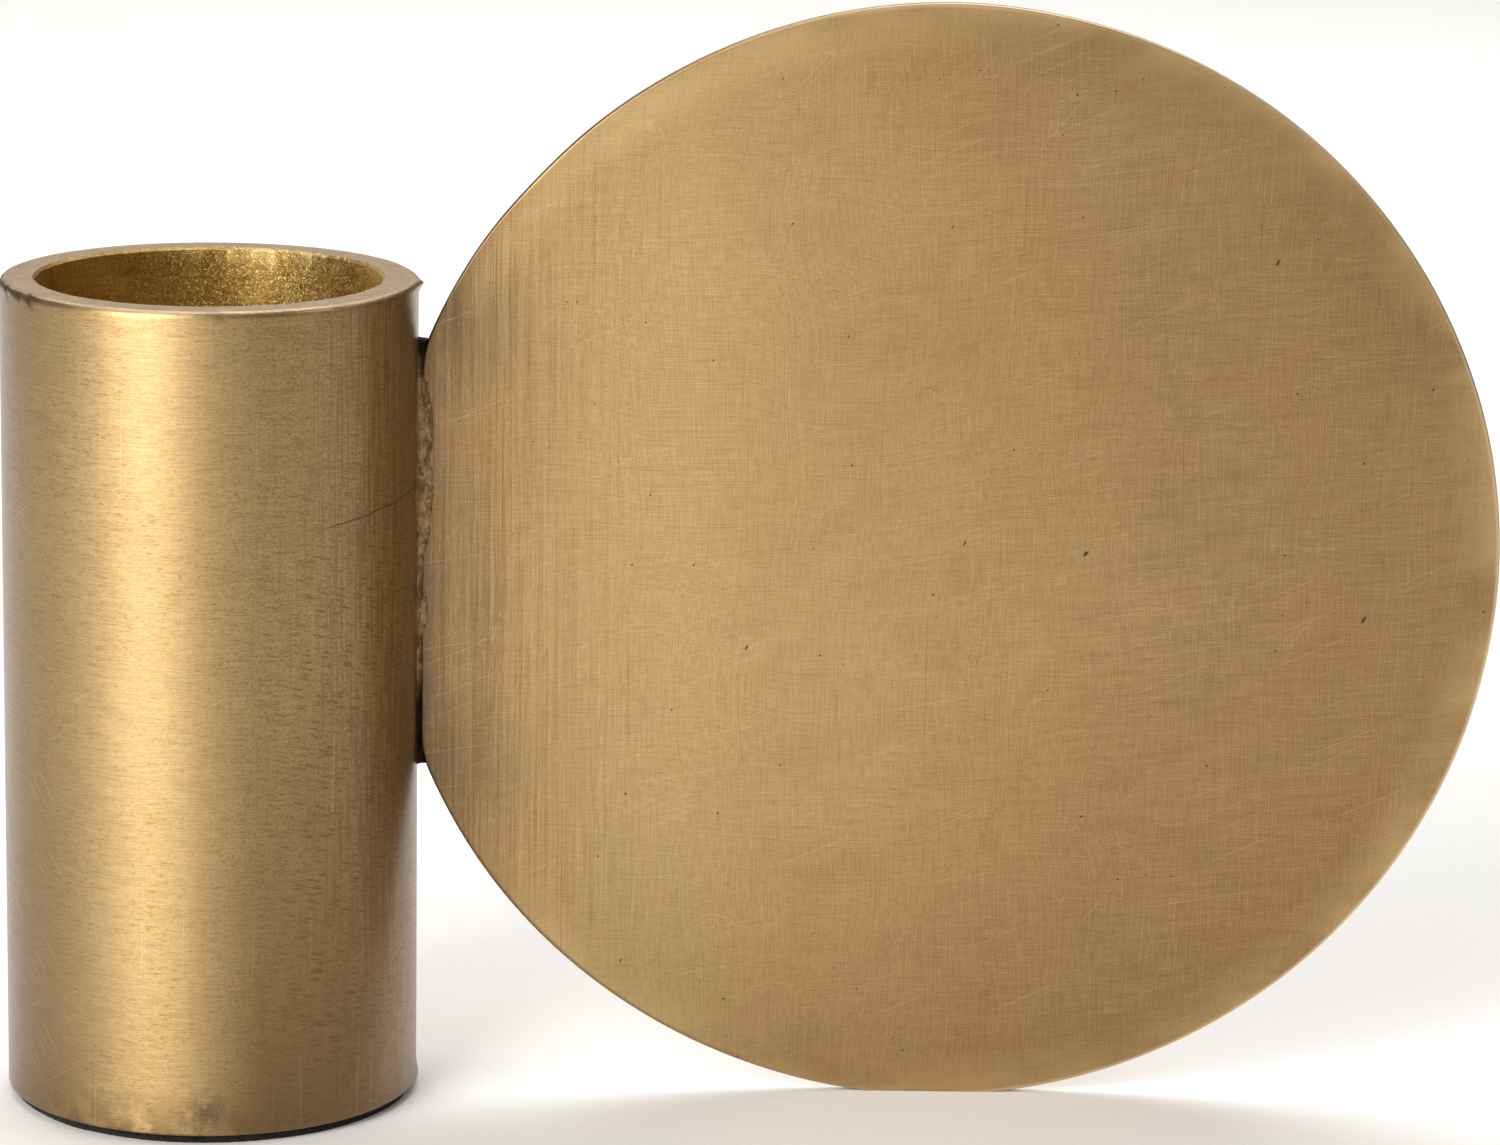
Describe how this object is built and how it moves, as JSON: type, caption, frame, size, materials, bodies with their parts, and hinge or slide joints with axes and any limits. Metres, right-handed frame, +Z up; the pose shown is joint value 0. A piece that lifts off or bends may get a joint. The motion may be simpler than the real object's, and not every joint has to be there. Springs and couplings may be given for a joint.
{
  "type": "candle holder",
  "caption": "Upright brass cup tube for a slim candle, brazed to the edge of a thin round brass disc that stands on edge as a reflector.",
  "frame": {"origin": "on the cup tube's axis at the underside of the felt pad, on the table", "axes": "+Z up along the tube, +X from the tube's axis along the disc, Y across the disc's thickness"},
  "size_m": [0.181, 0.05, 0.1348],
  "materials": {
    "tube_brass": "antiqued, brushed round the tube, lacquered",
    "disc_brass": "antiqued, fine crossed scratches and small pits",
    "plate_brass": "as rolled",
    "cup_gilding": "grainy gold paint",
    "filler_metal": "rough, dark, as brazed",
    "felt": "pressed felt"
  },
  "bodies": {
    "root": {"cup_tube": "tube_brass", "candle_floor": "cup_gilding", "floor_braze": "filler_metal", "base_plate": "plate_brass", "base_braze": "filler_metal", "base_pad": "felt", "disc": "disc_brass", "joint_braze_front": "filler_metal", "joint_braze_rear": "filler_metal"}
  },
  "joints": []
}
